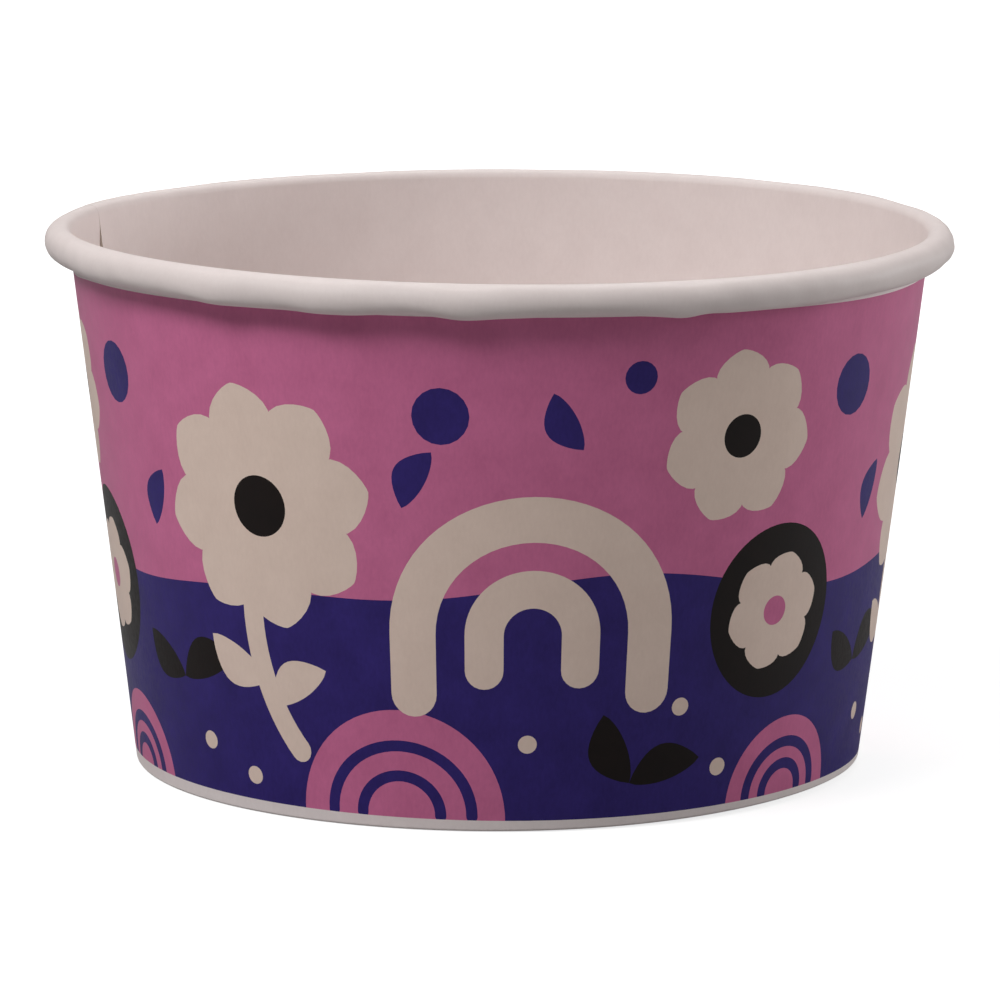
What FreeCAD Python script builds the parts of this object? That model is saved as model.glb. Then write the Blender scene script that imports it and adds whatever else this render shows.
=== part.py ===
"""Paper dessert cup: a conical side wall and a pressed base disc, both of coated cup board.

The side wall is one sheet. It is wrapped into a cone whose ends lap and are heat sealed, its top
edge is curled outwards through a full turn into a hollow bead, and its bottom edge is folded
inwards and up as a hem. The base disc is a flat panel with a short skirt turned down, and
the skirt is sealed in the fold between the wall and the hem, so the panel stands clear of the
table.

Millimetres. The origin is the middle of the foot, on the table, with +Z up along the cup's axis.
Sections are drawn in the XZ plane, where X is the distance from the axis. The sheet has a cup
side, which faces the food and turns outwards over the rim, and a print side.
"""

import FreeCAD, Part
import math
import os

# Overall sizes
RIM_DIAMETER = 95.0
FOOT_DIAMETER = 76.4
CUP_HEIGHT = 56.5

# Board thicknesses, coating included
WALL_BOARD = 0.32
BASE_BOARD = 0.30

# Bead at the rim, by the radii of its visible face
LIP_RADIUS = 1.05  # from the wall up to the highest line
CROWN_RADIUS = 1.75  # from the highest line out to the widest
CHEEK_RADIUS = 1.55  # from the widest line in to the underside
TUCK_GAP = 0.06  # from the lapped wall to the end of the curl beside it

# Foot
BASE_RECESS = 6.0  # from the table to the underside of the panel
HEM_CLEARANCE = 1.0  # from the underside of the panel down to the top of the hem
SEAL_GAP = 0.02  # between two boards that are sealed together
SKIRT_RADIUS = 0.8  # of the bend between panel and skirt, on the panel's upper face
SKIRT_CLEARANCE = 0.25  # from the skirt's cut edge down to the fold

# Side seam
SEAM_AZIMUTH = 162.7  # of the inner layer's cut edge, in degrees from +X towards +Y
LAP_WIDTH = 7.0  # round the rim
RAMP_WIDTH = 3.0  # round the rim, where the outer layer climbs onto the inner one

# Bends are drawn as chords, which keeps a mesh of the cup light. None cuts deeper into its bend.
CHORD_SAG = 0.12

AXIS = FreeCAD.Vector(0, 0, 1)
ORIGIN = FreeCAD.Vector(0, 0, 0)


def at(x, z):
    """A point of the section plane."""
    return FreeCAD.Vector(x, 0, z)


def bend(centre, radius, start, stop, depth=0):
    """Points along a bend in the section plane, by its angles in radians from +X towards +Z.

    The face at a depth inside the bend has as many chords as the bend's own radius needs, so
    that both faces of a board run parallel.
    """
    widest_chord = 2 * math.acos(1 - min(CHORD_SAG / radius, 1))
    chords = math.ceil(abs(stop - start) / widest_chord)
    turns = [start + (stop - start) * step / chords for step in range(chords + 1)]
    return [centre + at(math.cos(turn), math.sin(turn)) * (radius - depth) for turn in turns]


def wall_lean():
    """How far the wall leans from upright, in radians, so that it runs on into the lip."""
    run = (RIM_DIAMETER - FOOT_DIAMETER) / 2 - CROWN_RADIUS
    rise = CUP_HEIGHT - LIP_RADIUS
    return math.atan2(run, rise) - math.asin((LIP_RADIUS - WALL_BOARD) / math.hypot(run, rise))


LEAN = wall_lean()


def wall_point(height, depth):
    """The point of the wall at a height, that far into the board from its cup side."""
    radius = FOOT_DIAMETER / 2 + (depth - WALL_BOARD) / math.cos(LEAN)
    return at(radius + height * math.tan(LEAN), height)


def curl(depth):
    """The bead at a depth from its visible face, from the cut edge round to the wall."""
    rim = RIM_DIAMETER / 2
    over = CUP_HEIGHT - CROWN_RADIUS
    underside = over - CHEEK_RADIUS

    # The cut edge ends upright beside the lapped wall, which leans towards it as it rises.
    lapped_wall = wall_point(underside, 2 * WALL_BOARD).x
    room = rim - CHEEK_RADIUS - TUCK_GAP - lapped_wall
    tuck_radius = room / (1 + math.tan(LEAN))

    tuck = at(rim - CHEEK_RADIUS, underside + tuck_radius)
    cheek = at(rim - CHEEK_RADIUS, over)
    crown = at(rim - CROWN_RADIUS, over)
    lip = at(rim - CROWN_RADIUS, CUP_HEIGHT - LIP_RADIUS)
    quarter = math.pi / 2
    points = bend(tuck, tuck_radius, -2 * quarter, -quarter, depth)
    points += bend(cheek, CHEEK_RADIUS, -quarter, 0, depth)[1:]
    points += bend(crown, CROWN_RADIUS, 0, quarter, depth)[1:]
    points += bend(lip, LIP_RADIUS, quarter, 2 * quarter - LEAN, depth)[1:]
    return points


def fold_corners(stand_out):
    """The pressed fold's two inner corners, under a wall that stands out by so much."""
    pocket = BASE_BOARD + 2 * SEAL_GAP
    return wall_point(WALL_BOARD, stand_out), wall_point(WALL_BOARD, -pocket)


def hem_top(depth):
    """The upper end of the hem, at a depth from the side that is sealed to the skirt."""
    pocket = BASE_BOARD + 2 * SEAL_GAP
    return wall_point(BASE_RECESS - HEM_CLEARANCE, -pocket - depth)


def fold_underside(stand_out):
    """The outside of the fold, round its two inner corners, from the wall to the hem."""
    under_wall, under_hem = fold_corners(stand_out)
    straight_down = -math.pi / 2
    first = bend(under_wall, WALL_BOARD, -LEAN, straight_down)
    second = bend(under_hem, WALL_BOARD, straight_down, -math.pi - LEAN)
    return first + second


def sheet_section(stand_out):
    """A cut through one layer of the sheet, whose wall and bead stand out by so much.

    The wall stands out where it climbs onto its own start, but the hem stays where it is.
    """
    cup_side = curl(stand_out) + [*fold_corners(stand_out), hem_top(0)]
    print_side = curl(stand_out + WALL_BOARD) + fold_underside(stand_out) + [hem_top(WALL_BOARD)]
    return outline(cup_side + print_side[::-1])


def lapped_section():
    """A cut through the seam, where the outer layer is trimmed off at the start of the fold."""
    cup_side = curl(0) + [*fold_corners(0), hem_top(0)]
    trimmed = wall_point(fold_underside(0)[0].z, 2 * WALL_BOARD)
    print_side = curl(2 * WALL_BOARD) + [trimmed] + fold_underside(0) + [hem_top(WALL_BOARD)]
    return outline(cup_side + print_side[::-1])


def outline(points):
    """A closed outline through points of the section plane."""
    return Part.makePolygon(points + points[:1])


def swept(wire, start, angle):
    """A section turned about the cup's axis, from a start azimuth through an angle."""
    solid = Part.Face(wire).revolve(ORIGIN, AXIS, angle)
    return solid.rotated(ORIGIN, AXIS, start)


def side_wall():
    """The wrapped, curled and folded sheet, closed by its lap seam."""
    wall_radius_at_rim = RIM_DIAMETER / 2 - CROWN_RADIUS - LIP_RADIUS
    lap = math.degrees(LAP_WIDTH / wall_radius_at_rim)
    ramp = math.degrees(RAMP_WIDTH / wall_radius_at_rim)

    two_layers = swept(lapped_section(), SEAM_AZIMUTH - lap, lap)
    one_layer = swept(sheet_section(0), SEAM_AZIMUTH + ramp, 360 - lap - ramp)

    ramp_top = sheet_section(WALL_BOARD).rotated(ORIGIN, AXIS, SEAM_AZIMUTH)
    ramp_foot = sheet_section(0).rotated(ORIGIN, AXIS, SEAM_AZIMUTH + ramp)
    climb = Part.makeLoft([ramp_top, ramp_foot], True, True)

    return one_layer.fuse([two_layers, climb]).removeSplitter()


def base_disc():
    """The flat panel with its skirt turned down, a body of revolution."""
    top = BASE_RECESS + BASE_BOARD
    outer = -SEAL_GAP
    inner = outer - BASE_BOARD
    bend_centre = wall_point(top - SKIRT_RADIUS, outer) - at(SKIRT_RADIUS / math.cos(LEAN), 0)
    skirt_end = WALL_BOARD + SKIRT_CLEARANCE
    upper_side = [at(0, top)]
    upper_side += bend(bend_centre, SKIRT_RADIUS, math.pi / 2, -LEAN)
    upper_side.append(wall_point(skirt_end, outer))

    # The press leaves a sharp corner on the underside.
    under_side = [at(0, BASE_RECESS), wall_point(BASE_RECESS, inner), wall_point(skirt_end, inner)]
    return swept(outline(upper_side + under_side[::-1]), 0, 360)


def main():
    os.makedirs("parts", exist_ok=True)
    side_wall().exportStep("parts/side_wall.step")
    base_disc().exportStep("parts/base_disc.step")


main()
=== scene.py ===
"""Looks of a paper dessert cup: one wrapped, curled and folded sheet, and the base disc it holds.

The sheet is drawn again from the part's own sizes, with round bends, the small unevenness of a
formed cup, and the print as inked areas with crisp edges in the sheet itself. Its cup side faces
the food and turns outwards over the rim, and its print side faces out.

Shapes are worked out in millimetres and turned to metres where a mesh is made. A turn is an angle
round the cup that starts at the sheet's inner end, in radians. The front is the -Y side.
"""

import math

import bpy
import numpy as np
from mathutils import Matrix, Vector
from mathutils.geometry import delaunay_2d_cdt


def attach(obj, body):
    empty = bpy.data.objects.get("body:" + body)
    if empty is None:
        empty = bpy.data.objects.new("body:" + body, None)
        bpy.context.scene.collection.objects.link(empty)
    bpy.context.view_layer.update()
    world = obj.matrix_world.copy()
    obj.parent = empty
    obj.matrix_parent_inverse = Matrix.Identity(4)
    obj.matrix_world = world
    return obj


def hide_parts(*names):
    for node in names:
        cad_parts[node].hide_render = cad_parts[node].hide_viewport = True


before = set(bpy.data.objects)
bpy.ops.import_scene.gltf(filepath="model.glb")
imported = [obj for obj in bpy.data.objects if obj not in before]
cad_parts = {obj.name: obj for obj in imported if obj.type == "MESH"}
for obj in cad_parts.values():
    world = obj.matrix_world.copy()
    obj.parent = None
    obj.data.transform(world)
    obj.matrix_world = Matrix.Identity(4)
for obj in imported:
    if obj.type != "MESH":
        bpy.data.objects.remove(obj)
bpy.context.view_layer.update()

# Sizes of the part
RIM_RADIUS = 47.5
FOOT_RADIUS = 38.2
CUP_HEIGHT = 56.5
WALL_BOARD = 0.32
BASE_BOARD = 0.30
LIP_RADIUS = 1.05
CROWN_RADIUS = 1.75
CHEEK_RADIUS = 1.55
TUCK_GAP = 0.06
BASE_RECESS = 6.0
HEM_TOP = 5.0
SEAL_GAP = 0.02
SKIRT_RADIUS = 0.8
SKIRT_CLEARANCE = 0.25
SEAM_AZIMUTH = math.radians(162.7)
LAP_WIDTH = 7.0
RAMP_WIDTH = 3.0

# Columns of the sheet's grid, from its inner end round the cup and on over the lap
FULL_TURN = 2 * math.pi
WALL_RADIUS_AT_RIM = RIM_RADIUS - CROWN_RADIUS - LIP_RADIUS
RAMP = RAMP_WIDTH / WALL_RADIUS_AT_RIM
COLUMNS_A_TURN = 600
COLUMN = FULL_TURN / COLUMNS_A_TURN
LAP_COLUMNS = round(LAP_WIDTH / WALL_RADIUS_AT_RIM / COLUMN)
LAP = LAP_COLUMNS * COLUMN
COLUMNS = COLUMNS_A_TURN + LAP_COLUMNS + 1
TURNS = np.arange(COLUMNS) * COLUMN

# The press squeezes the lap until it is nearly flush in the bead.
BEAD_SQUEEZE = 0.03
SQUEEZE_STARTS = 51.0
SQUEEZE_RUN = 4.0
LAP_GAP = 0.012


def wall_lean():
    """How far the wall leans from upright, so that it runs on into the lip."""
    run = RIM_RADIUS - FOOT_RADIUS - CROWN_RADIUS
    rise = CUP_HEIGHT - LIP_RADIUS
    return math.atan2(run, rise) - math.asin((LIP_RADIUS - WALL_BOARD) / math.hypot(run, rise))


LEAN = wall_lean()


def wall_radius(height, depth=0.0):
    """Radius of the wall at a height, that far into the board from its cup side."""
    return FOOT_RADIUS + (depth - WALL_BOARD) / math.cos(LEAN) + height * math.tan(LEAN)


def smooth(value):
    """Rises gently from 0 at 0 to 1 at 1."""
    value = np.clip(value, 0, 1)
    return value * value * (3 - 2 * value)


# Section of the sheet


def bend(centre, radius, start, stop, steps):
    """Rows round a bend: radius, height and the way the cup side faces, in degrees above +X."""
    looks = np.radians(np.linspace(start, stop, steps + 1))
    across = centre[0] + radius * np.cos(looks)
    return list(zip(across, centre[1] + radius * np.sin(looks), looks, strict=True))


def bead_rows():
    """The bead, from the tucked cut edge round to the wall."""
    over = CUP_HEIGHT - CROWN_RADIUS
    underside = over - CHEEK_RADIUS
    room = RIM_RADIUS - CHEEK_RADIUS - TUCK_GAP - wall_radius(underside, 2 * WALL_BOARD)
    tuck_radius = room / (1 + math.tan(LEAN))
    lean = math.degrees(LEAN)
    cheek_middle = RIM_RADIUS - CHEEK_RADIUS
    crown_middle = RIM_RADIUS - CROWN_RADIUS
    rows = bend((cheek_middle, underside + tuck_radius), tuck_radius, -180, -90, 5)
    rows += bend((cheek_middle, over), CHEEK_RADIUS, -90, 0, 9)[1:]
    rows += bend((crown_middle, over), CROWN_RADIUS, 0, 90, 9)[1:]
    rows += bend((crown_middle, CUP_HEIGHT - LIP_RADIUS), LIP_RADIUS, 90, 180 - lean, 8)[1:]
    return rows


# The wall's printed face, from inside the curl down to the fold
PRINT_SIDE_TOP = 54.4
PRINT_SIDE_FOOT = 0.6
WALL_HEIGHTS = np.linspace(PRINT_SIDE_TOP, PRINT_SIDE_FOOT, 20)


def foot_rows():
    """The fold under the wall and the hem, which runs up inside the base disc's skirt."""
    pocket = BASE_BOARD + 2 * SEAL_GAP
    lean = math.degrees(LEAN)
    under_wall = (wall_radius(WALL_BOARD), WALL_BOARD)
    under_hem = (wall_radius(WALL_BOARD, -pocket), WALL_BOARD)
    first = bend(under_wall, 0, 180 - lean, 90, 4)
    second = bend(under_hem, 0, 90, -lean, 4)
    heights = np.linspace(WALL_BOARD, HEM_TOP, 7)[1:]
    hem = [(wall_radius(height, -pocket), height, -LEAN) for height in heights]
    return first, second + hem


BEAD = bead_rows()
WALL = [(wall_radius(height), height, math.pi - LEAN) for height in WALL_HEIGHTS]
FIRST_FOLD, HEM = foot_rows()
ROWS = np.array(BEAD + WALL + FIRST_FOLD + HEM)
TOP_ROW = len(BEAD)
FOOT_ROW = len(BEAD) + len(WALL) - 1
FOLD_ROW = FOOT_ROW + 1
HEM_ROW = FOLD_ROW + len(FIRST_FOLD)
SIDE_POINTS = len(ROWS) * COLUMNS  # in the grid on one side of the sheet


def squeeze(height):
    """Share of the board's thickness that the press leaves in the lap, by height."""
    return 1 - (1 - BEAD_SQUEEZE) * smooth((height - SQUEEZE_STARTS) / SQUEEZE_RUN)


def climb(turn):
    """How far the sheet's outer end has climbed onto its own start, from 0 to 1."""
    return smooth((turn - FULL_TURN + RAMP) / RAMP)


def lapped(turn):
    """1 where two layers lie on each other, and 0 away from the lap."""
    return np.maximum(climb(turn), 1 - smooth((turn - LAP) / RAMP))


def sheet(rows, turn, side, part):
    """Points and normals of the sheet, where side is 0 for the cup side and 1 for the print side.

    Rows hold radius, height and look. A part of the bead is pushed inwards where it climbs onto
    the lap, one of the wall sideways, and the hem stays where it is.
    """
    radius, height, look = rows[..., 0], rows[..., 1], rows[..., 2]
    bead, wall = part == "bead", part == "wall"
    push_out = np.where(bead, -np.cos(look), np.where(wall, 1 / math.cos(LEAN), 0))
    push_up = np.where(bead, -np.sin(look), 0)
    kept = np.where(part == "hem", 1, squeeze(height))

    def layer(turn):
        """How far the cup side stands out, and how deep under it this side lies."""
        stand = np.where(part == "hem", 0, climb(turn) * kept * (WALL_BOARD + LAP_GAP))
        board = WALL_BOARD * (1 - (1 - kept) * lapped(turn))
        return stand, side * board

    stand, deep = layer(turn)
    across = radius + stand * push_out - deep * np.cos(look)
    up = height + stand * push_up - deep * np.sin(look)
    azimuth = SEAM_AZIMUTH - turn

    step = 1e-3
    later, earlier = sum(layer(turn + step)), sum(layer(turn - step))
    slope = (later - earlier) / (2 * step) / across
    facing = np.cos(look)
    normals = np.stack(
        [
            facing * np.cos(azimuth) + slope * np.sin(azimuth),
            facing * np.sin(azimuth) - slope * np.cos(azimuth),
            np.broadcast_to(np.sin(look), azimuth.shape),
        ],
        -1,
    )
    points = np.stack([across * np.cos(azimuth), across * np.sin(azimuth), up], -1)
    return points, normals * (1 - 2 * side)


# Unevenness of a formed cup

# Soft corners of the curl: azimuth in degrees, and how far each drops the bead in millimetres.
# The four from -127.5 to -66.6 stand where the bead's lower edge was measured to dip in the
# photograph, and the others are made up.
BEAD_CORNERS = [
    (-152, 0.12), (-127.5, 0.22), (-112.5, 0.16), (-95, 0.26), (-66.6, 0.16), (-38, 0.1), (-6, 0.16),
    (21, 0.2), (48, 0.14), (83, 0.18), (112, 0.12), (139, 0.2), (168, 0.1),
]
CORNER_WIDTH = 4

# How far the curl's underside hangs below its true height between the corners, in millimetres,
# by the azimuth in degrees. From -153 to -28 the values follow the bead's lower edge, measured
# in the photograph by another script and corrected by hand. The others are made up.
CURL_HANGS = [
    (-180, 0), (-160, 0), (-153, 0.05), (-149, 0.12), (-142, 0), (-138, 0.06), (-131, 0.1),
    (-127.5, 0.28), (-120, 0.17), (-116, 0.1), (-113, 0.24), (-108, 0.22), (-105, 0.02),
    (-101, -0.14), (-97.5, -0.04), (-95, 0.26), (-92.5, 0.22), (-90, 0.08), (-85, -0.06),
    (-80, -0.17), (-74, -0.08), (-70, 0.12), (-66.6, 0.4), (-63.8, 0.02), (-61, 0.14),
    (-45, 0.18), (-37, 0.06), (-28, 0.16), (-5, -0.12), (30, 0.1), (55, -0.2), (85, 0.06),
    (108, -0.1), (135, 0.12), (158, -0.04), (180, 0),
]


def near(azimuth, middle, width):
    """1 at a middle azimuth, falling off to 0 over a width, all in degrees."""
    away = (azimuth - middle + 180) % 360 - 180
    return np.exp(-((away / width) ** 2))


def out_of_level(azimuth, up):
    """How far the cup is lifted, by the azimuth and the share of its height.

    The rim isn't quite level, and the foot has one place that doesn't touch the table.
    """
    rim_drop = 0.16 * np.cos(np.radians(2 * azimuth + 100))
    foot_lift = 0.52 * near(azimuth, -28, 42)
    return foot_lift * (1 - up) ** 2 - rim_drop * up**2


def wall_waves(azimuth, up):
    """How far the wall stands out, by the azimuth and the share of the cup's height.

    It waves by less than its thickness, and it is drawn in a little beside the stiff seam.
    """
    turn = np.radians(azimuth)
    waves = 0.07 * np.sin(3 * turn + 0.6) * up + 0.045 * np.sin(5 * turn + 2 - 2.5 * up)
    waves += 0.03 * np.sin(9 * turn + 4 * up) * np.sin(math.pi * up)
    return waves - 0.09 * up * (near(azimuth, 146, 7) + near(azimuth, 172, 6))


def curl_unevenness(azimuth, height, stand_out):
    """How far the bead is lifted and stands out, where stand_out is measured from the wall.

    It sags at its soft corners, and its underside hangs lower in some places than in others.
    """
    turn = np.radians(azimuth)
    below_rim = CUP_HEIGHT - height
    drop = sum(depth * near(azimuth, corner, CORNER_WIDTH) for corner, depth in BEAD_CORNERS)
    places, hangs = zip(*CURL_HANGS, strict=True)
    hang = np.mean([np.interp(azimuth + aside, places, hangs) for aside in (-1, 0, 1)], 0)

    on_bead = smooth((3.6 - below_rim) / 1.1) * smooth((stand_out - 0.5) / 0.9)
    on_underside = smooth((below_rim - 1.6) / 1.7) * smooth((stand_out - 0.2) / 0.8)
    on_underside *= smooth((5.0 - below_rim) / 1.1)
    ripples = 0.03 * np.sin(23 * turn) * np.sin(4 * turn)
    ripples += 0.022 * np.sin(47 * turn + 5 * np.sin(7 * turn) + 1.3 * height)
    lift = -on_bead * (drop - 0.04) - on_underside * hang
    return lift, on_bead * (0.3 * drop + ripples)


def unevenness(points):
    """How far a formed cup strays from the true shape at points, in millimetres."""
    x, y, height = points[:, 0], points[:, 1], points[:, 2]
    across = np.hypot(x, y)
    azimuth = np.degrees(np.arctan2(y, x))
    up = np.clip(height / CUP_HEIGHT, 0, 1)
    lift, swell = curl_unevenness(azimuth, height, across - wall_radius(height, WALL_BOARD))
    lift += out_of_level(azimuth, up)
    swell += wall_waves(azimuth, up)
    off_axis = smooth(across / 20)
    turn = np.radians(azimuth)
    return np.stack([swell * np.cos(turn), swell * np.sin(turn), lift], -1) * off_axis[:, None]


def formed(points, normals):
    """Points with the unevenness in them, and their normals turned with it."""
    step = 0.02
    stretch = np.zeros((len(points), 3, 3))
    for axis in range(3):
        aside = np.zeros(3)
        aside[axis] = step
        stretch[:, :, axis] = unevenness(points + aside) - unevenness(points - aside)
    stretch = np.eye(3) + stretch / (2 * step)
    turned = np.linalg.solve(stretch.transpose(0, 2, 1), normals[..., None])[..., 0]
    turned /= np.linalg.norm(turned, axis=1, keepdims=True)
    return points + unevenness(points), turned


# Print

# The artwork is laid out flat: x in millimetres round the cup at mid-height, from the front to
# the right as seen from outside, and y up.
ART_RADIUS = wall_radius(CUP_HEIGHT / 2, WALL_BOARD)
FRONT_TURN = SEAM_AZIMUTH + math.pi / 2
ART_RIGHT = FRONT_TURN * ART_RADIUS
ART_LEFT = (FRONT_TURN - FULL_TURN - LAP) * ART_RADIUS
REPEATS = 3
REPEAT_WIDTH = FULL_TURN * ART_RADIUS / REPEATS
CHIPPED_INK = 0.12  # along the cut ends of the sheet
PRINT_MARGIN = (0.05, 0.03)  # that keeps outlines off the sheet's own edges

# Inks by number, where 0 is none
BARE, PINK, INDIGO, CREAM, BLACK = range(5)


def moved(outline, x, y, turn=0.0):
    """An outline turned in degrees and put in place, narrowed where the cup is wider."""
    angle = math.radians(turn)
    spin = np.array([[math.cos(angle), math.sin(angle)], [-math.sin(angle), math.cos(angle)]])
    narrowed = (np.array(outline) @ spin) * (ART_RADIUS / wall_radius(y, WALL_BOARD), 1)
    return narrowed + (x, y)


def oval(wide, high, start=0, stop=360, steps=40):
    """An oval round the origin, or a slice of one, by half its width and height."""
    turns = np.radians(np.linspace(start, stop, steps + 1))
    if stop - start == 360:
        turns = turns[:-1]
    return np.stack([wide * np.cos(turns), high * np.sin(turns)], -1)


def petal(reach, wide):
    """A round-ended petal that grows from the origin along +X."""
    along = (1 - np.cos(np.linspace(0, math.pi, 19))) / 2
    half = wide / 2 * np.sin(math.pi * along**1.9) ** 0.7
    edge = np.stack([along * reach, half], -1)
    return np.concatenate([edge, (edge * (1, -1))[-2:0:-1]])


def daisy(x, y, reach, petals, ink, heart, turn=0):
    """A flower of round petals with a round heart."""
    wide = 1.62 * reach * math.sin(math.pi / petals)
    parts = [
        (ink, moved(petal(reach, wide), x, y, turn + 360 * number / petals))
        for number in range(petals)
    ]
    parts.append((ink, moved(oval(reach * 0.4, reach * 0.4), x, y)))
    parts.append((heart, moved(oval(reach * 0.25, reach * 0.25), x, y)))
    return parts


def arch(x, y, radius, wide, leg, ink):
    """A band bent to an arch, with a round-ended leg of that length at each end."""
    outer = oval(radius, radius, 0, 180, 36)
    inner = oval(radius - wide, radius - wide, 180, 0, 28)
    foot = oval(wide / 2, wide / 2, 180, 360, 12)
    left_foot = foot + (wide / 2 - radius, -leg)
    right_foot = foot + (radius - wide / 2, -leg)
    outline = np.concatenate([outer, left_foot, inner, right_foot])
    return [(ink, moved(outline, x, y))]


def leaf(x, y, length, wide, turn, ink):
    """A pointed leaf that starts at a point and grows in a direction."""
    along = np.linspace(0, 1, 15)
    half = wide / 2 * np.sin(math.pi * along) ** 0.8
    bow = 0.12 * length * np.sin(math.pi * along)
    upper = np.stack([along * length, bow + half], -1)
    lower = np.stack([along * length, bow - half], -1)[-2:0:-1]
    return [(ink, moved(np.concatenate([upper, lower]), x, y, turn))]


def stalk(points, wide, ink):
    """A round-ended band on a smooth line through four points."""
    points = np.array(points)
    spans = np.linalg.norm(np.diff(points, axis=0), axis=1)
    marks = np.concatenate([[0], np.cumsum(spans)])
    where = np.linspace(0, marks[-1], 24)
    line = np.stack([np.polyval(np.polyfit(marks, points[:, k], 3), where) for k in (0, 1)], -1)
    ahead = np.gradient(line, axis=0)
    ahead *= wide / 2 / np.linalg.norm(ahead, axis=1, keepdims=True)
    side = np.stack([-ahead[:, 1], ahead[:, 0]], -1)
    turns = np.linspace(0, math.pi, 9)[1:-1, None]
    cap = line[-1] + side[-1] * np.cos(turns) + ahead[-1] * np.sin(turns)
    tail = line[0] - side[0] * np.cos(turns) - ahead[0] * np.sin(turns)
    return [(ink, np.concatenate([line + side, cap, (line - side)[::-1], tail]))]


def dots(places, radius, ink):
    """Round dots of one size."""
    return [(ink, moved(oval(radius, radius, steps=20), x, y)) for x, y in places]


def dome(x, y, radius, ink, stripe):
    """A half-round that grows from the print's lower edge, with two thin arches in it."""
    parts = [(ink, moved(oval(radius, radius * 1.1, -10, 190, 40), x, y))]
    for share in (0.74, 0.44):
        parts += arch(x, y + 0.6, radius * share, 1.15, 0, stripe)
    return parts


def repeat_of_artwork():
    """One repeat of a made-up pattern of flowers, arches, leaves and dots, lowest ink first."""
    art = []
    # Low dark field
    art += dome(-10.5, 1.0, 10.5, PINK, INDIGO)
    art += dome(35.5, 0.6, 7.8, PINK, INDIGO)
    art += leaf(-38.5, 13.0, 8.5, 4.2, 22, BLACK) + leaf(-38.5, 13.0, 7.2, 3.8, 146, BLACK)
    art += leaf(14.5, 4.6, 8.0, 4.0, 14, BLACK) + leaf(14.5, 4.6, 8.0, 4.0, 112, BLACK)
    art += dots([(-35, 6.8), (-28.5, 4.0), (20, 12.2), (25.4, 5.2), (3.2, 9.2)], 0.95, CREAM)

    # Flower with a stalk and two leaves
    art += stalk([(-25.0, 30), (-26.8, 22), (-25.3, 13), (-22.0, 7.4)], 2.5, CREAM)
    art += leaf(-25.6, 14.2, 8.2, 4.2, 150, CREAM) + leaf(-25.0, 11.8, 7.6, 4.0, 34, CREAM)
    art += daisy(-25.0, 32.5, 12.6, 8, CREAM, BLACK, 11)

    # Two arches on the edge of the dark field
    art += arch(3.6, 20.5, 14.4, 4.7, 6.2, CREAM)
    art += arch(3.6, 20.5, 6.8, 3.9, 3.6, CREAM)

    # Smaller flower, and a dark round with a flower on it
    art += daisy(25.0, 40.0, 9.0, 7, CREAM, BLACK, -8)
    art += [(BLACK, moved(oval(8.4, 9.2, steps=60), 31.5, 21.0))]
    art += daisy(31.5, 21.0, 6.2, 6, CREAM, PINK, 14)

    # Discs and drops on the light field
    art += dots([(-5.5, 43.0)], 2.9, INDIGO) + dots([(40.6, 43.5)], 3.2, INDIGO)
    art += leaf(-9.5, 33.5, 6.6, 3.4, 62, INDIGO) + leaf(8.2, 39.6, 6.6, 3.4, 118, INDIGO)
    art += leaf(-41.0, 28.5, 6.4, 3.2, 70, INDIGO) + dots([(13.6, 46.8)], 1.7, INDIGO)
    return art


def field_edge(x):
    """Height of the edge between the light field and the dark one below it."""
    turn = x / ART_RADIUS
    return 24.4 + 1.5 * np.sin(REPEATS * turn + 0.9) + 0.8 * np.sin(2 * REPEATS * turn - 0.6)


def cropped(outline, low, high):
    """An outline cut to a rectangle, or nothing where it lies outside."""
    for axis in (0, 1):
        for limit, above in ((low[axis], True), (high[axis], False)):
            kept = []
            for first, second in zip(outline, np.roll(outline, -1, axis=0), strict=True):
                inside = [(point[axis] >= limit) == above for point in (first, second)]
                if inside[0]:
                    kept.append(first)
                if inside[0] != inside[1]:
                    share = (limit - first[axis]) / (second[axis] - first[axis])
                    kept.append(first + (second - first) * share)
            if len(kept) < 3:
                return None
            outline = np.array(kept)
    return outline


def between(x, low, high):
    """Outline of the band between two edges that are given by their heights along x."""
    lower, upper = np.stack([x, low], -1), np.stack([x, high], -1)
    return np.concatenate([lower, upper[::-1]])


def printed_band():
    """Outline of the printed area, which sits a little askew on the blank.

    The board shows bare along the cut end, where the ink chips off, beside the bead and at the
    foot.
    """
    x = np.linspace(ART_LEFT + CHIPPED_INK, ART_RIGHT - CHIPPED_INK, 400)
    azimuth = np.degrees(x / ART_RADIUS) - 90
    aside = np.cos(np.radians(azimuth))
    low = 1.2 - 0.33 * aside
    high = 52.95 - 0.85 * aside**4 + 0.15 * near(azimuth, -86, 22)
    high -= 0.16 * near(azimuth, -34, 15) + 0.3 * near(azimuth, -170, 7)
    return between(x, low, high)


def artwork():
    """All inked areas round the cup, lowest ink first."""
    low = (ART_LEFT + PRINT_MARGIN[0], PRINT_SIDE_FOOT + PRINT_MARGIN[1])
    high = (ART_RIGHT - PRINT_MARGIN[0], PRINT_SIDE_TOP - PRINT_MARGIN[1])
    # As many points along the foot as along the upper edge, because the flat map is rolled up
    x = np.linspace(low[0], high[0], 300)
    dark_field = between(x, np.full(len(x), low[1]), field_edge(x))
    areas = [(PINK, printed_band()), (INDIGO, dark_field)]
    for number in range(-REPEATS, REPEATS):
        for ink, outline in repeat_of_artwork():
            outline = cropped(outline + (number * REPEAT_WIDTH, 0), low, high)
            if outline is not None:
                areas.append((ink, outline))
    return areas


def signed_area(outline):
    """Area of an outline, below 0 where it runs clockwise."""
    x, y = outline[:, 0], outline[:, 1]
    return float(np.sum(x * np.roll(y, -1) - np.roll(x, -1) * y)) / 2


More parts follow.
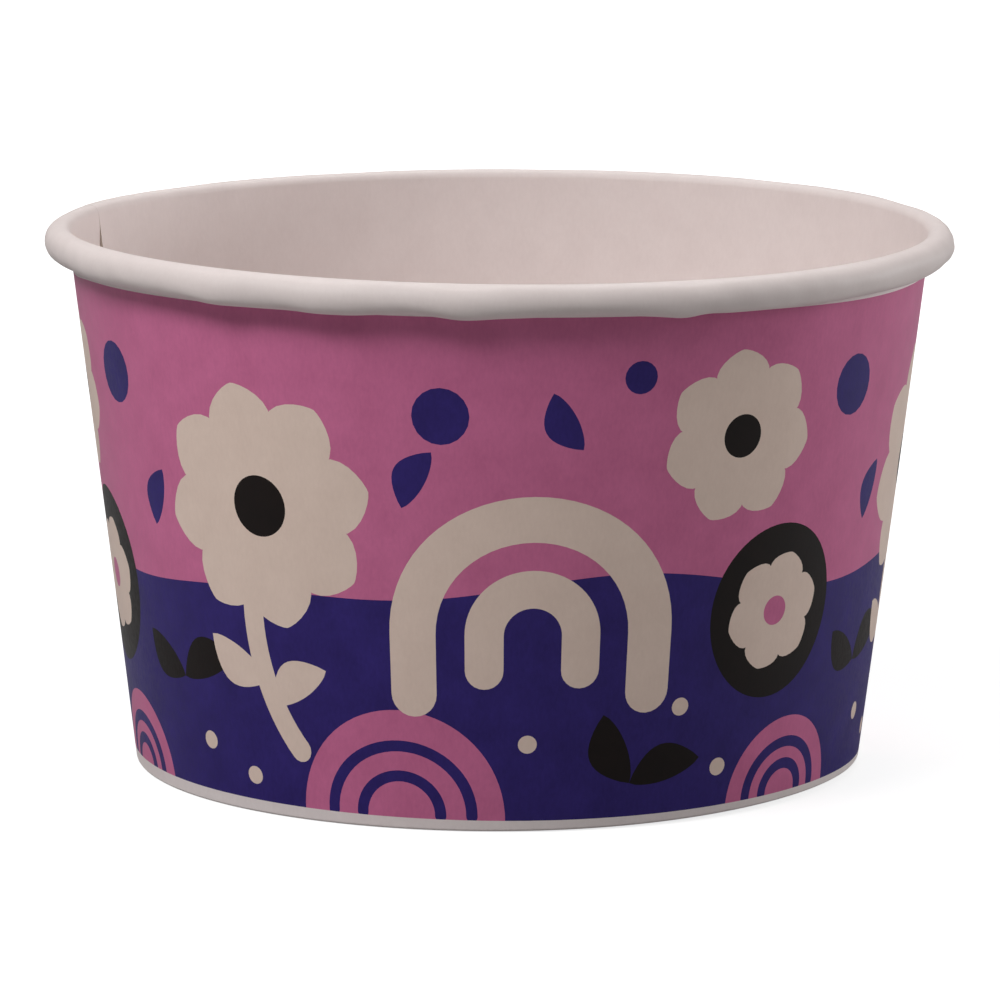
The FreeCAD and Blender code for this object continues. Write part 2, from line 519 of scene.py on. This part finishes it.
def cut_up(border, inner):
    """The wall's flat print side inside its border, cut into triangles by the artwork's outlines.

    Gives the places of the corners, the triangles, the ink of each triangle, and the numbers of
    the border's, inner and outlines' points that each corner comes from.
    """
    places = [Vector(point) for point in border] + [Vector(point) for point in inner]
    edges = [(n, (n + 1) % len(border)) for n in range(len(border))]
    areas = artwork()
    faces = []
    for _, outline in areas:
        if signed_area(outline) < 0:
            outline = outline[::-1]
        faces.append(list(range(len(places), len(places) + len(outline))))
        places += [Vector(point) for point in outline]
    found = delaunay_2d_cdt(places, edges, faces, 0, 1e-5)
    corners, triangles, sources, covers = found[0], found[2], found[3], found[5]
    # Nothing is inked outside the printed band, which is the first area.
    inks = [areas[max(cover)][0] if 0 in cover else BARE for cover in covers]
    return np.array([tuple(corner) for corner in corners]), triangles, inks, sources


# Meshes

# Slots of the side wall's materials, of which the base disc has the first two
BOARD_SLOT, EDGE_SLOT, BARE_SLOT = 0, 1, 2


def to_object(name, points, faces, slots, materials, corner_normals=None):
    """A smooth-shaded object in the row's frame, from points in millimetres."""
    mesh = bpy.data.meshes.new(name)
    mesh.from_pydata((np.asarray(points) / 1000).tolist(), [], faces)
    for material in materials:
        mesh.materials.append(material)
    mesh.polygons.foreach_set("material_index", slots)
    mesh.polygons.foreach_set("use_smooth", [True] * len(faces))
    mesh.update()
    if corner_normals is not None:
        mesh.normals_split_custom_set(corner_normals)
    thing = bpy.data.objects.new(name, mesh)
    bpy.context.scene.collection.objects.link(thing)
    return thing


def at(row, column):
    """Number of a point of the cup side's grid."""
    return row * COLUMNS + column


def grid_side(side):
    """Points and normals of the grid on one side of the sheet, row by row."""
    rows = np.repeat(ROWS[:, None], COLUMNS, 1)
    turns = np.repeat(TURNS[None], len(ROWS), 0)
    part = np.full(turns.shape, "wall")
    part[:TOP_ROW] = "bead"
    part[HEM_ROW:] = "hem"
    points, normals = sheet(rows, turns, side, part)
    return points.reshape(-1, 3), normals.reshape(-1, 3)


def grid_quads():
    """Quads of the whole cup side, and those of the print side outside the wall."""
    # The outer end of the sheet is trimmed off at the fold, and the hem's ends don't meet.
    cup_quads = [
        (at(row, column), at(row + 1, column), at(row + 1, column + 1), at(row, column + 1))
        for row in range(len(ROWS) - 1)
        for column in range(COLUMNS - 1)
        if row < FOLD_ROW or column < COLUMNS_A_TURN - 1
    ]
    print_quads = [
        tuple(corner + SIDE_POINTS for corner in reversed(quad))
        for quad in cup_quads
        if not TOP_ROW <= quad[0] // COLUMNS < FOOT_ROW
    ]
    return cup_quads, print_quads


def edge_quads(quads):
    """Quads across the board's thickness, along the edges where the cup side's quads end."""
    edges = {(quad[k], quad[(k + 1) % 4]) for quad in quads for k in range(4)}
    open_edges = [(a, b) for a, b in sorted(edges) if (b, a) not in edges]
    return [(b, a, a + SIDE_POINTS, b + SIDE_POINTS) for a, b in open_edges]


def printed_wall():
    """The wall's print side, cut up by the artwork.

    Gives its faces and the ink of each, and the heights and turns of the points that it adds to
    those of the two grids.
    """
    last = COLUMNS - 1
    border = [(FOOT_ROW, column) for column in range(last, 0, -1)]
    border += [(row, 0) for row in range(FOOT_ROW, TOP_ROW, -1)]
    border += [(TOP_ROW, column) for column in range(last)]
    border += [(row, last) for row in range(TOP_ROW, FOOT_ROW)]
    x_of = (FRONT_TURN - TURNS) * ART_RADIUS
    border_places = [(x_of[column], ROWS[row, 1]) for row, column in border]
    inner_places = [
        (x_of[column], ROWS[row, 1])
        for row in range(TOP_ROW + 1, FOOT_ROW)
        for column in range(2, last - 1, 2)
    ]
    places, triangles, inks, sources = cut_up(border_places, inner_places)

    # A corner on the border is a point of the print side's grid, and every other one is added.
    on_border = [next((n for n in source if n < len(border)), None) for source in sources]
    added = [n for n, known in enumerate(on_border) if known is None]
    number = {n: 2 * SIDE_POINTS + order for order, n in enumerate(added)}
    for n, known in enumerate(on_border):
        if known is not None:
            number[n] = SIDE_POINTS + at(*border[known])
    faces = [tuple(number[corner] for corner in triangle) for triangle in triangles]
    return faces, inks, places[added, 1], FRONT_TURN - places[added, 0] / ART_RADIUS


def flat_places(heights, turns):
    """Places of all points in the flat map, the cup side below and the print side above it.

    The heights and turns are those of the points that the artwork adds.
    """
    runs = np.concatenate([[0], np.cumsum(np.hypot(*np.diff(ROWS[:, :2], axis=0).T))])
    added_runs = np.interp(-heights, -WALL_HEIGHTS, runs[TOP_ROW : FOOT_ROW + 1])
    run = np.concatenate([np.repeat(runs, COLUMNS)] * 2 + [added_runs]) / runs[-1]
    share = np.concatenate([np.tile(TURNS, len(ROWS))] * 2 + [turns]) / TURNS[-1]
    upper_half = np.arange(len(run)) >= SIDE_POINTS
    return np.stack([0.002 + 0.996 * share, 0.004 + 0.47 * run + 0.49 * upper_half], -1)


def edge_strip(count):
    """Places of the cut edges' corners, whose quads lie in a row at the top of the flat map."""
    left = np.arange(count) / count
    right = left + 0.8 / count
    low, high = np.full(count, 0.985), np.full(count, 0.997)
    return np.stack([left, low, right, low, right, high, left, high], -1).reshape(-1, 2)


def used_only(points, faces):
    """The points that faces use, and the faces by the new numbers of their corners."""
    corners = [corner for face in faces for corner in face]
    used, new_numbers = np.unique(corners, return_inverse=True)
    new_numbers = new_numbers.tolist()
    starts = np.cumsum([0] + [len(face) for face in faces])
    faces = [new_numbers[a:b] for a, b in zip(starts[:-1], starts[1:], strict=True)]
    return points[used], faces


def side_wall_mesh():
    """Points, faces, slots, corner normals and flat map of the wrapped sheet."""
    cup_quads, print_quads = grid_quads()
    cut_quads = edge_quads(cup_quads)
    print_faces, inks, heights, turns = printed_wall()
    wall_rows = np.stack([wall_radius(heights), heights, np.full(len(heights), math.pi - LEAN)], -1)
    added = sheet(wall_rows, turns, 1, np.full(len(heights), "wall"))
    parts = [grid_side(0), grid_side(1), added]
    points, normals = formed(*(np.concatenate(arrays) for arrays in zip(*parts, strict=True)))

    smooth_faces = cup_quads + print_quads + print_faces
    slots = [BOARD_SLOT] * len(cup_quads) + [BARE_SLOT] * len(print_quads)
    slots += [BARE_SLOT + ink for ink in inks] + [EDGE_SLOT] * len(cut_quads)
    corners = [corner for face in smooth_faces for corner in face]
    a, b, c, d = (points[list(numbers)] for numbers in zip(*cut_quads, strict=True))
    across = np.cross(c - a, d - b)
    across /= np.linalg.norm(across, axis=1, keepdims=True)
    corner_normals = np.concatenate([normals[corners], np.repeat(across, 4, 0)])
    flat_map = np.concatenate([flat_places(heights, turns)[corners], edge_strip(len(cut_quads))])
    points, faces = used_only(points, smooth_faces + cut_quads)
    return points, faces, slots, corner_normals, flat_map


BASE_COLUMNS = 360
PANEL_DISH = 0.22  # from the panel's flat rim down to its middle
DISH_RADIUS = 33.0


def base_section():
    """The base's section, from its middle down the skirt and back, and where its cut edge starts."""
    top = BASE_RECESS + BASE_BOARD
    under_bend = top - SKIRT_RADIUS
    middle = wall_radius(under_bend, -SEAL_GAP) - SKIRT_RADIUS / math.cos(LEAN)
    looks = np.linspace(math.pi / 2, -LEAN, 9)
    panel = np.linspace(0.4, middle - 0.6, 14)
    skirt = np.linspace(under_bend - 0.6, WALL_BOARD + SKIRT_CLEARANCE, 6)

    def side(panel_height, bend_radius, depth):
        """One side of the board."""
        rows = [(radius, panel_height) for radius in panel]
        rows += [
            (middle + bend_radius * math.cos(look), under_bend + bend_radius * math.sin(look))
            for look in looks
        ]
        return rows + [(wall_radius(height, depth), height) for height in skirt]

    upper = side(top, SKIRT_RADIUS, -SEAL_GAP)
    lower = side(BASE_RECESS, SKIRT_RADIUS - BASE_BOARD, -SEAL_GAP - BASE_BOARD)
    section = np.array(upper + lower[::-1])
    # The panel dishes a little towards its middle.
    section[:, 1] -= PANEL_DISH * smooth(1 - section[:, 0] / DISH_RADIUS)
    return section, len(upper) - 1


def base_disc_mesh():
    """Points, faces and slots of the pressed base, and its points along the cut edge."""
    section, cut = base_section()
    size = len(section)
    points = [(0, 0, section[0, 1]), (0, 0, section[-1, 1])]
    for turn in np.arange(BASE_COLUMNS) * FULL_TURN / BASE_COLUMNS:
        points += [(across * math.cos(turn), across * math.sin(turn), up) for across, up in section]
    faces = []
    for column in range(BASE_COLUMNS):
        here = 2 + column * size
        there = 2 + (column + 1) % BASE_COLUMNS * size
        faces.append((0, here, there))
        faces += [(here + k, here + k + 1, there + k + 1, there + k) for k in range(size - 1)]
        faces.append((1, there + size - 1, here + size - 1))
    sharp = {2 + column * size + k for column in range(BASE_COLUMNS) for k in (cut, cut + 1)}
    slots = [
        EDGE_SLOT if face[0] in sharp and face[1] in sharp else BOARD_SLOT
        for face in faces
    ]
    points = np.array(points)
    return points + unevenness(points), faces, slots, sharp


# Materials


def colour(hex_code):
    """A linear colour from an sRGB hex code."""
    parts = [int(hex_code[k : k + 2], 16) / 255 for k in (1, 3, 5)]
    linear = [p / 12.92 if p <= 0.04045 else ((p + 0.055) / 1.055) ** 2.4 for p in parts]
    return (*linear, 1.0)


def add(tree, kind, settings=(), **inputs):
    """Adds a node with its settings, and sets or links its inputs, named with _ for a space."""
    node = tree.nodes.new(kind)
    for name, value in dict(settings).items():
        setattr(node, name, value)
    for name, value in inputs.items():
        socket = node.inputs[int(name[1:]) if name[1:].isdigit() else name.replace("_", " ")]
        if isinstance(value, bpy.types.NodeSocket):
            tree.links.new(value, socket)
        else:
            socket.default_value = value
    return node


CLOUD = 4.0  # across one cloudy patch of the board's formation, in millimetres
NOISE_REACH = 0.11  # that the noise mostly keeps to on either side of its middle, 0.5


def paper_surface(name, light, dark, fibre, gloss, mottle=0.5, relief=0.010, ior=1.5, glare=0.5):
    """Cup board with its fibre pattern, for a light and a dark tone that it wanders between.

    Fibre is the size of one clump of fibres in millimetres, across, across and up. Gloss is the
    lowest and highest roughness. Mottle is how strongly the tone wanders, and relief is the
    height of the fibres under the coating, in millimetres. Glare is how much it mirrors seen
    straight on, where 0.5 is a smooth surface.
    """
    material = bpy.data.materials.new(name)
    material.use_nodes = True
    tree = material.node_tree
    tree.nodes.clear()
    place = add(tree, "ShaderNodeTexCoord").outputs["Object"]
    per_clump = [1000 / size for size in fibre]
    fibres_at = add(tree, "ShaderNodeMapping", Vector=place, Scale=per_clump)
    fibres = add(tree, "ShaderNodeTexNoise", Vector=fibres_at.outputs[0], Scale=1.0, Detail=3.0,
                 Roughness=0.62)
    clouds = add(tree, "ShaderNodeTexNoise", Vector=place, Scale=1000 / CLOUD, Detail=4.0,
                 Roughness=0.6)
    blend = add(tree, "ShaderNodeMix", {"data_type": "FLOAT"}, Factor=0.6,
                _2=fibres.outputs["Fac"], _3=clouds.outputs["Fac"])
    reach = NOISE_REACH / mottle
    spread = add(tree, "ShaderNodeMapRange", Value=blend.outputs[0], From_Min=0.5 - reach,
                 From_Max=0.5 + reach)
    tone = add(tree, "ShaderNodeMix", {"data_type": "RGBA"}, Factor=spread.outputs[0],
               _6=colour(dark), _7=colour(light))
    shine = add(tree, "ShaderNodeMapRange", Value=fibres.outputs["Fac"], From_Min=0.3,
                From_Max=0.7, To_Min=gloss[0], To_Max=gloss[1])
    bump = add(tree, "ShaderNodeBump", Height=fibres.outputs["Fac"], Strength=1.0,
               Distance=relief / 1000)
    board = add(tree, "ShaderNodeBsdfPrincipled", Base_Color=tone.outputs[2],
                Roughness=shine.outputs[0], Normal=bump.outputs[0], IOR=ior)
    board.inputs["Specular IOR Level"].default_value = glare
    add(tree, "ShaderNodeOutputMaterial", Surface=board.outputs[0])
    return material


# Clumps of fibres in the wall, in the base and along a cut edge
UPRIGHT_FIBRE = (0.35, 0.35, 0.8)
LEVEL_FIBRE = (0.8, 0.35, 0.35)
CUT_FIBRE = (0.2, 0.2, 0.2)

# Bleached board with a thin plastic barrier coating: a warm white with a satin gloss.
coated_board = paper_surface("coated_cup_board", "#EEE2DF", "#E6D9D6", UPRIGHT_FIBRE, (0.48, 0.6),
                             relief=0.006, glare=0.3)
coated_base = paper_surface("coated_base_board", "#ECE0DD", "#E3D6D3", LEVEL_FIBRE, (0.48, 0.6),
                            relief=0.008, glare=0.3)
# The outer face has no coating: whiter and more matt.
bare_board = paper_surface("uncoated_board_face", "#F5EAE8", "#EBDFDD", UPRIGHT_FIBRE, (0.6, 0.75))
# Cut through the layers of the board: open fibres, matt and a shade darker.
cut_board = paper_surface("cut_board_edge", "#CFC3B6", "#B3A598", CUT_FIBRE, (0.75, 0.9))


def offset_ink(name, light, dark, mottle=0.5):
    """Ink on the bare face: satin, with little glare from its pores, and mottled by the fibres."""
    return paper_surface(name, light, dark, UPRIGHT_FIBRE, (0.36, 0.48), mottle, 0.008, 1.45, 0.25)


inks = [
    offset_ink("offset_ink_pink", "#D977A3", "#C96B95", 0.6),
    offset_ink("offset_ink_indigo", "#37297A", "#2C1F65", 0.6),
    offset_ink("offset_ink_cream", "#F0D9CB", "#E6CEC0"),
    offset_ink("offset_ink_black", "#1D1311", "#130D0C"),
]
WALL_MATERIALS = [coated_board, cut_board, bare_board, *inks]

# The two pieces

points, faces, slots, corner_normals, flat_map = side_wall_mesh()
side_wall = to_object("printed_side_wall", points, faces, slots, WALL_MATERIALS, corner_normals)
side_wall.data.uv_layers.new(name="OFBake").data.foreach_set("uv", flat_map.ravel())
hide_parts("side_wall")
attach(side_wall, "root")

points, faces, slots, sharp = base_disc_mesh()
base_disc = to_object("pressed_base_disc", points, faces, slots, [coated_base, cut_board])
# The edges that run along the cut stay sharp.
for edge in base_disc.data.edges:
    ends = edge.vertices
    if ends[0] in sharp and ends[1] in sharp and abs(ends[0] - ends[1]) != 1:
        edge.use_edge_sharp = True
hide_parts("base_disc")
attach(base_disc, "root")

# Floor, lamps and camera


def white_to_camera(tree, strength, lit):
    """Adds plain light to a surface, for the camera alone."""
    path = add(tree, "ShaderNodeLightPath")
    power = add(tree, "ShaderNodeMath", {"operation": "MULTIPLY"}, _0=path.outputs["Is Camera Ray"],
                _1=strength)
    glow = add(tree, "ShaderNodeEmission", Strength=power.outputs[0])
    return add(tree, "ShaderNodeAddShader", _0=lit, _1=glow.outputs[0]).outputs[0]


def studio_floor():
    """A plain pale table top that keeps the cup's soft shadow and fades into white."""
    material = bpy.data.materials.new("matt_white_table")
    material.use_nodes = True
    tree = material.node_tree
    tree.nodes.clear()
    place = add(tree, "ShaderNodeTexCoord").outputs["Object"]
    away = add(tree, "ShaderNodeVectorMath", {"operation": "LENGTH"}, _0=place)
    near_by, far_off = 0.06, 0.5  # metres from the cup's middle
    fade = add(tree, "ShaderNodeMapRange", Value=away.outputs["Value"], From_Min=near_by,
               From_Max=far_off, To_Min=0.8, To_Max=1.0)
    lit = add(tree, "ShaderNodeBsdfDiffuse", Color=colour("#A6A6A6")).outputs[0]
    surface = white_to_camera(tree, fade.outputs[0], lit)
    add(tree, "ShaderNodeOutputMaterial", Surface=surface)
    mesh = bpy.data.meshes.new("table_top")
    reach = 6.0
    under = -0.00002  # a hair below the foot, so that the two faces don't lie in each other
    corners = [(-reach, -reach), (reach, -reach), (reach, reach), (-reach, reach)]
    mesh.from_pydata([(x, y, under) for x, y in corners], [], [(0, 1, 2, 3)])
    mesh.materials.append(material)
    floor = bpy.data.objects.new("table_top", mesh)
    bpy.context.scene.collection.objects.link(floor)


def studio_world():
    """White behind the cup for the camera, and a little light from the room."""
    world = bpy.data.worlds.new("studio")
    world.use_nodes = True
    tree = world.node_tree
    tree.nodes.clear()
    path = add(tree, "ShaderNodeLightPath")
    room = add(tree, "ShaderNodeBackground", Color=colour("#FFFFFF"), Strength=0.02)
    seen = add(tree, "ShaderNodeBackground", Color=colour("#FFFFFF"), Strength=1.0)
    both = add(tree, "ShaderNodeMixShader", _0=path.outputs["Is Camera Ray"], _1=room.outputs[0],
               _2=seen.outputs[0])
    add(tree, "ShaderNodeOutputWorld", Surface=both.outputs[0])
    bpy.context.scene.world = world


# Where the lamps stand and what they face, in metres
LAMP_DISTANCE = 1.1
LAMP_AIM = (0, 0, 0.03)


def softbox(name, azimuth, elevation, wide, high, power):
    """A soft lamp that faces the cup from a direction, in degrees, metres and watts."""
    lamp = bpy.data.lights.new(name, "AREA")
    lamp.shape = "RECTANGLE"
    lamp.size, lamp.size_y, lamp.energy = wide, high, power
    thing = bpy.data.objects.new(name, lamp)
    turn, rise = math.radians(azimuth), math.radians(elevation)
    way = Vector((math.cos(turn) * math.cos(rise), math.sin(turn) * math.cos(rise), math.sin(rise)))
    thing.location = way * LAMP_DISTANCE + Vector(LAMP_AIM)
    thing.rotation_euler = way.to_track_quat("Z", "Y").to_euler()
    bpy.context.scene.collection.objects.link(thing)


studio_floor()
studio_world()
softbox("softbox_front", -148, 45, 0.8, 0.32, 5.9)
softbox("softbox_above", -122, 50, 0.8, 0.32, 3.2)
softbox("softbox_right", -15, 30, 0.8, 0.6, 1.9)
softbox("softbox_low", 22, 9, 0.6, 0.26, 4.0)
softbox("softbox_back", 90, 60, 0.8, 0.6, 5.0)


def photograph_camera():
    """The camera of the photograph: far off, a little above the rim and with a long lens."""
    distance, pitch, roll = 0.6597, math.radians(9.95), math.radians(0.235)
    pixels_of_focus, picture_side, sensor = 6261.0, 1000.0, 36.0
    camera = bpy.data.cameras.new("camera")
    camera.sensor_width = sensor
    camera.lens = pixels_of_focus / picture_side * sensor
    camera.shift_x, camera.shift_y = 0.0019, -0.0114
    thing = bpy.data.objects.new("camera", camera)
    middle = CUP_HEIGHT / 2000
    place = Vector((0, -distance * math.cos(pitch), middle + distance * math.sin(pitch)))
    aim = Matrix.Rotation(math.pi / 2 - pitch, 4, "X")
    thing.matrix_world = Matrix.Translation(place) @ aim @ Matrix.Rotation(roll, 4, "Z")
    bpy.context.scene.collection.objects.link(thing)
    bpy.context.scene.camera = thing


photograph_camera()
bpy.context.scene.view_settings.view_transform = "Standard"
